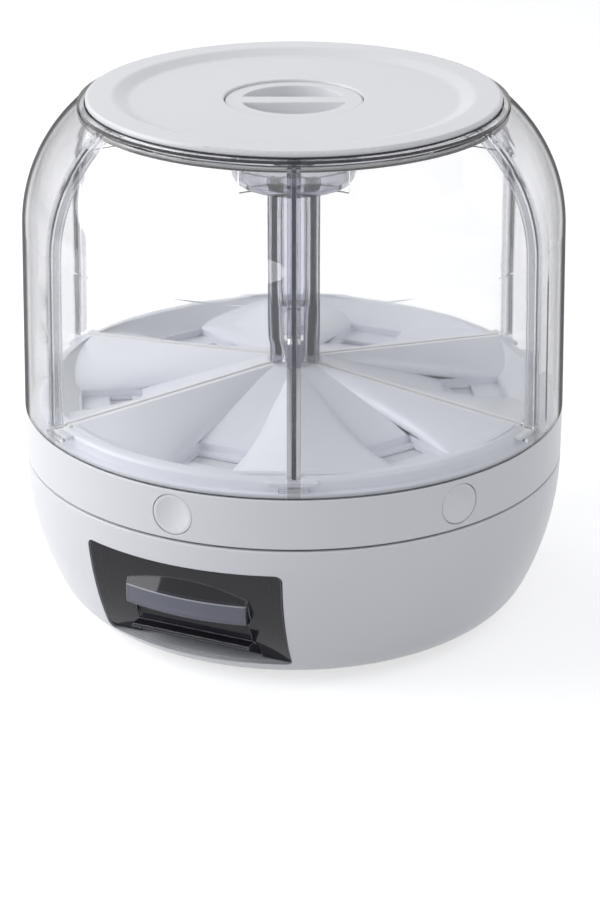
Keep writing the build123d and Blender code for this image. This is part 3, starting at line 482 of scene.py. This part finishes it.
def painted_shade_where(finish, place_for, colour):
    """Multiplies a clear moulding's tint by a darker colour at one place on it, as painted shade."""
    nodes = finish.node_tree.nodes
    links = finish.node_tree.links
    shader = nodes["Principled BSDF"]
    plain = shader.inputs["Base Color"].links[0].from_socket
    tint = between(nodes, links, place_for(nodes, links), (1, 1, 1), colour)
    links.new(times(nodes, links, plain, tint), shader.inputs["Base Color"])


bucket_clear = clear_plastic(
    "bucket_clear", clear_tint, shell_steps, 0.02, 0.0003, clear_edge, line=line_turn
)
# The ribs along the dividers are painted darker, as the shade seen through them.
painted_shade_where(bucket_clear, lambda nodes, links: near_dividers(nodes, links, rib_half), rib_painted_shade)
divider_clear = clear_plastic("divider_clear", clear_tint, plate_steps, 0.03, 0.0001, clear_edge)
# The dividers' narrow edges are painted dark grey, as the shade seen on end.
painted_shade_where(divider_clear, plate_edges, plate_edge_painted_shade)
column_clear = clear_plastic("column_clear", column_tint, column_steps, 0.04, 0.0008, 0.0004)
# The gasket is near-black: painted shadow in the gap between the collar and the bucket.
gap_shadow_grey = soft_rubber("gap_shadow_grey", gap_painted_shadow, 0.6)
finish_node("bucket", bucket_clear)
finish_node("bucket_gasket", gap_shadow_grey)
finish_node("centre_column", column_clear)
finish_node("column_screw", plated_steel)
for number in range(1, 7):
    finish_node("divider_%d" % number, divider_clear)


# Lid, its clear band and seal
# Dished white disc on a grey clear band, with a soft white seal round the band's skirt.

lid_shade = (0.77, 0.775, 0.80)
lid_gloss = 0.24
lid_edge = 0.0016
seal_shade = (0.62, 0.62, 0.64)
band_tint = (0.07, 0.07, 0.082)
band_haze = 0.6
band_steps = ((0.0, 1.0), (0.6, 0.8), (1.0, 0.35))
band_shine = 0.12

lid_white = moulded_plastic("lid_white", lid_shade, lid_gloss, lid_edge)
band_clear = clear_plastic("band_clear", band_tint, band_steps, 0.06, 0.0002, 0.0004, band_haze)
band_clear.node_tree.nodes["Principled BSDF"].inputs["Specular IOR Level"].default_value = band_shine
seal_white = soft_rubber("seal_white", seal_shade, 0.55)
finish_node("lid_panel", lid_white)
finish_node("lid_band", band_clear)
finish_node("lid_seal", seal_white)


# Locking knob
# White plate with two finger hollows, of the lid's plastic. The pale grey bar under it
# hooks below the column's ramps.

finish_node("knob", lid_white)
finish_node("locking_bar", shutter_plastic)
finish_node("knob_screw", plated_steel)


# Drawer
# One smoky clear moulding: front panel, curved pull, finger pocket and grain cup. The pull's
# front is painted lighter than the panel, for the light through its hollow, and its edges carry painted
# highlights.

smoke = (0.042, 0.042, 0.055)
# Lighter smoke on the pull's front: painted light for what comes through its hollow; it is also the tint
# that lamp light passes through.
pull_light_and_lamp_tint = (0.33, 0.34, 0.42)
pull_edge_highlight = (0.85, 0.86, 0.92)
smoke_haze = 0.4
smoke_bend = 1.40
smoke_gloss = (0.05, 0.12)
drawer_ripple = 0.00005
drawer_edge = 0.0011
drawer_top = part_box("drawer")[1][2]
pull_half = 0.0362
pull_front_y = -0.1362
pull_top = drawer_top - 0.0223
pull_foot = drawer_top - 0.0335
highlight_half = 0.0004


def within(nodes, links, source, low, high):
    """1 where the source lies between low and high."""
    inside = nodes.new("ShaderNodeMath")
    inside.operation = "COMPARE"
    inside.inputs[1].default_value = (low + high) / 2
    inside.inputs[2].default_value = (high - low) / 2
    links.new(source, inside.inputs[0])
    return inside.outputs["Value"]


def both(nodes, links, first, second):
    """1 where both are 1."""
    product = nodes.new("ShaderNodeMath")
    product.operation = "MULTIPLY"
    links.new(first, product.inputs[0])
    links.new(second, product.inputs[1])
    return product.outputs["Value"]


def on_the_pull(nodes, links, low, high):
    """1 on the front of the pull, between two heights."""
    place = nodes.new("ShaderNodeTexCoord")
    parts = nodes.new("ShaderNodeSeparateXYZ")
    links.new(place.outputs["Object"], parts.inputs["Vector"])
    wide = within(nodes, links, parts.outputs["X"], -pull_half, pull_half)
    high_enough = within(nodes, links, parts.outputs["Z"], low, high)
    outside = within(nodes, links, parts.outputs["Y"], -1.0, pull_front_y)
    return both(nodes, links, outside, both(nodes, links, wide, high_enough))


smoky_clear, nodes, links, shader, output = new_finish("smoky_clear")
shader.inputs["Transmission Weight"].default_value = 1.0 - smoke_haze
shader.inputs["IOR"].default_value = smoke_bend
soft_normal = clear_skin(nodes, links, shader, drawer_ripple, drawer_edge)
smoke_and_painted_light = between(nodes, links, on_the_pull(nodes, links, pull_foot, pull_top), smoke, pull_light_and_lamp_tint)
smoke_and_painted_light = painted_edge_light(nodes, links, soft_normal, smoke_and_painted_light, pull_edge_highlight)
# Thin painted highlight lines along the pull's top and foot edges.
for height in (pull_top, pull_foot):
    lit = nodes.new("ShaderNodeMix")
    lit.data_type = "RGBA"
    lit.inputs["B"].default_value = (*pull_edge_highlight, 1)
    links.new(on_the_pull(nodes, links, height - highlight_half, height + highlight_half), lit.inputs["Factor"])
    links.new(smoke_and_painted_light, lit.inputs["A"])
    smoke_and_painted_light = lit.outputs["Result"]
links.new(smoke_and_painted_light, shader.inputs["Base Color"])
uneven = spread(nodes, links, cloudy(nodes, links, clear_gloss_scale), *smoke_gloss)
links.new(uneven, shader.inputs["Roughness"])
open_to_lamps(nodes, links, shader.outputs["BSDF"], output, pull_light_and_lamp_tint)
finish_node("drawer", smoky_clear)


# Studio
# Pale floor, one large soft lamp at the left, weaker ones at the right, behind and low in
# front, and the camera where the picture was taken from.

floor_half = 6.0
paper_scale = 3.0
paper_dark = (0.60, 0.60, 0.60)
paper_light = (0.62, 0.62, 0.62)
seen_white = 0.62
room_light = (0.93, 0.95, 1.0)
room_strength = 0.42
aim_height = 0.084
camera_distance = 1.536
camera_turn = 24.8
camera_rise = 22.84
lens = 107.5
axis_offset = 0.0068
# Each lamp's turn from the camera and rise in degrees, distance and width in metres, and watts.
lamps = {
    "left_lamp": (-86, 28, 1.8, 1.4, 19.0),
    "right_lamp": (62, 50, 1.9, 0.9, 4.5),
    "back_lamp": (-140, 44, 1.8, 1.2, 5.0),
    "front_lamp": (-12, 12, 1.8, 0.5, 1.8),
}


def sees_background(nodes, links):
    """1 for the rays by which the camera, gloss and glass see the surroundings."""
    ray = nodes.new("ShaderNodeLightPath")
    direct = nodes.new("ShaderNodeMath")
    direct.operation = "MAXIMUM"
    links.new(ray.outputs["Is Camera Ray"], direct.inputs[0])
    links.new(ray.outputs["Is Glossy Ray"], direct.inputs[1])
    through = nodes.new("ShaderNodeMath")
    through.operation = "MAXIMUM"
    links.new(direct.outputs["Value"], through.inputs[0])
    links.new(ray.outputs["Is Transmission Ray"], through.inputs[1])
    return through.outputs["Value"]


def direction(turn, rise):
    """Unit vector from the object towards a place round it, by turn and rise in degrees."""
    around = math.radians(turn)
    up = math.radians(rise)
    return Vector((math.sin(around) * math.cos(up), -math.cos(around) * math.cos(up), math.sin(up)))


floor_mesh = bpy.data.meshes.new("floor")
floor_shape = bmesh.new()
bmesh.ops.create_grid(floor_shape, x_segments=8, y_segments=8, size=floor_half)
floor_shape.to_mesh(floor_mesh)
floor_shape.free()
floor = bpy.data.objects.new("floor", floor_mesh)
bpy.context.scene.collection.objects.link(floor)
floor_paper, nodes, links, shader, output = new_finish("floor_paper")
paper = spread(nodes, links, cloudy(nodes, links, paper_scale), 0.0, 1.0)
links.new(between(nodes, links, paper, paper_dark, paper_light), shader.inputs["Base Color"])
shader.inputs["Roughness"].default_value = 0.9
shader.inputs["Specular IOR Level"].default_value = 0.1
glow = nodes.new("ShaderNodeEmission")
lift = nodes.new("ShaderNodeMath")
lift.operation = "MULTIPLY"
lift.inputs[1].default_value = seen_white
links.new(sees_background(nodes, links), lift.inputs[0])
links.new(lift.outputs["Value"], glow.inputs["Strength"])
together = nodes.new("ShaderNodeAddShader")
links.new(shader.outputs["BSDF"], together.inputs[0])
links.new(glow.outputs["Emission"], together.inputs[1])
links.new(together.outputs["Shader"], output.inputs["Surface"])
floor.data.materials.append(floor_paper)

world = bpy.data.worlds.new("studio")
bpy.context.scene.world = world
world.use_nodes = True
nodes = world.node_tree.nodes
links = world.node_tree.links
nodes.clear()
room = nodes.new("ShaderNodeBackground")
room.inputs["Color"].default_value = (*room_light, 1)
room.inputs["Strength"].default_value = room_strength
seen = nodes.new("ShaderNodeBackground")
seen.inputs["Color"].default_value = (1, 1, 1, 1)
choose = nodes.new("ShaderNodeMixShader")
sky = nodes.new("ShaderNodeOutputWorld")
links.new(sees_background(nodes, links), choose.inputs["Fac"])
links.new(room.outputs["Background"], choose.inputs[1])
links.new(seen.outputs["Background"], choose.inputs[2])
links.new(choose.outputs["Shader"], sky.inputs["Surface"])


def soft_lamp(name, turn, rise, distance, width, power):
    """Round soft lamp that looks at the middle of the object."""
    lamp_data = bpy.data.lights.new(name, "AREA")
    lamp_data.shape = "DISK"
    lamp_data.size = width
    lamp_data.energy = power
    lamp = bpy.data.objects.new(name, lamp_data)
    bpy.context.scene.collection.objects.link(lamp)
    towards = direction(turn, rise)
    lamp.location = Vector((0, 0, aim_height)) + towards * distance
    lamp.rotation_mode = "QUATERNION"
    lamp.rotation_quaternion = (-towards).to_track_quat("-Z", "Y")


for name, (turn, rise, distance, width, power) in lamps.items():
    soft_lamp(name, camera_turn + turn, rise, distance, width, power)

camera_data = bpy.data.cameras.new("camera")
camera_data.lens = lens
camera_data.shift_x = axis_offset
camera_data.clip_start = 0.01
camera = bpy.data.objects.new("camera", camera_data)
bpy.context.scene.collection.objects.link(camera)
towards = direction(camera_turn, camera_rise)
camera.location = Vector((0, 0, aim_height)) + towards * camera_distance
camera.rotation_mode = "QUATERNION"
camera.rotation_quaternion = (-towards).to_track_quat("-Z", "Y")
bpy.context.scene.camera = camera
bpy.context.scene.view_settings.view_transform = "Standard"
